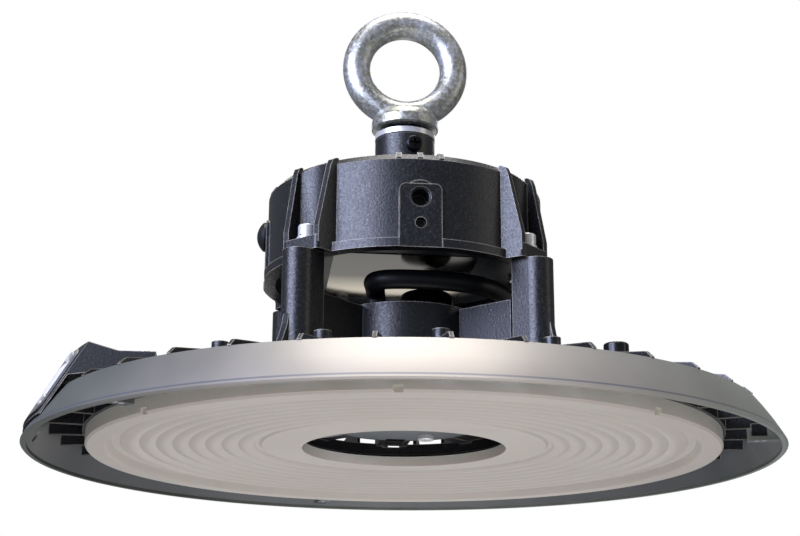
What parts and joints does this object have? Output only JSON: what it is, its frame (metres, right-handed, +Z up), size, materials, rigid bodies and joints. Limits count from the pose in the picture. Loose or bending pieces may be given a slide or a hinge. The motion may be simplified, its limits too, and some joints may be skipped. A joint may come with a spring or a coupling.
{
  "type": "high bay light",
  "caption": "Round hanging LED high bay light: finned black head with a conical trim ring and ridged lens, driver drum on pillars, and a lifting eye.",
  "frame": {"origin": "centre of the trim ring's lower edge", "axes": "+Z up along the neck to the lifting eye; -Y is the front pad of the driver drum; the rating plate is on -X"},
  "size_m": [0.3, 0.3, 0.197],
  "materials": {
    "black_cast": "fine textured black powder coat on cast aluminium",
    "skirt_silver": "satin silver paint on spun aluminium",
    "galvanised_steel": "hot dip galvanised, mottled",
    "bright_zinc": "bright zinc plated",
    "black_steel": "black oxide, oiled",
    "milky_lens": "milky warm grey polycarbonate",
    "black_rubber": "smooth black rubber",
    "white_silicone": "pale silicone",
    "black_plastic": "fine grained black nylon",
    "grey_paint": "glossy dark grey paint",
    "board_white": "white solder mask on an aluminium core",
    "led_phosphor": "yellow phosphor under clear silicone",
    "board_green": "green solder mask",
    "ferrite": "dark ferrite with enamelled winding",
    "capacitor_sleeve": "dark sleeve on an aluminium can",
    "nylon_natural": "natural nylon",
    "silver_label": "bare matt silver"
  },
  "bodies": {
    "root": {"trim_ring": "skirt_silver", "ring_screws": "bright_zinc", "heat_sink": "black_cast", "vent_plug": "black_plastic", "led_board": "board_white", "led_packages": "led_phosphor", "board_screws": "bright_zinc", "lens": "milky_lens", "lens_outer_seal": "white_silicone", "lens_inner_seal": "white_silicone", "hub_cover": "grey_paint", "hub_seal": "black_rubber", "hub_cover_screws": "bright_zinc", "duct_cover": "black_plastic", "hub_plug": "black_plastic", "hub_plug_nut": "black_plastic", "hub_gland": "black_rubber", "hub_gland_nut": "black_plastic", "drum_gland": "black_rubber", "drum_gland_nut": "black_plastic", "led_lead": "black_rubber", "driver_housing": "black_cast", "side_plug": "black_rubber", "driver_base": "grey_paint", "base_seal": "black_rubber", "base_screws": "bright_zinc", "base_label": "silver_label", "driver_board": "board_green", "transformer": "ferrite", "capacitors": "capacitor_sleeve", "choke": "ferrite", "terminal_block": "nylon_natural", "board_fixings": "bright_zinc", "pillar_bolts": "bright_zinc", "pillar_flat_washers": "bright_zinc", "pillar_spring_washers": "bright_zinc", "lifting_eye": "galvanised_steel", "face_washer": "bright_zinc", "eye_lock_washer": "black_steel", "neck_set_screw": "black_steel", "label_bracket": "black_cast", "bracket_screws": "bright_zinc", "label_plate": "silver_label", "label_rivets": "bright_zinc"}
  },
  "joints": []
}
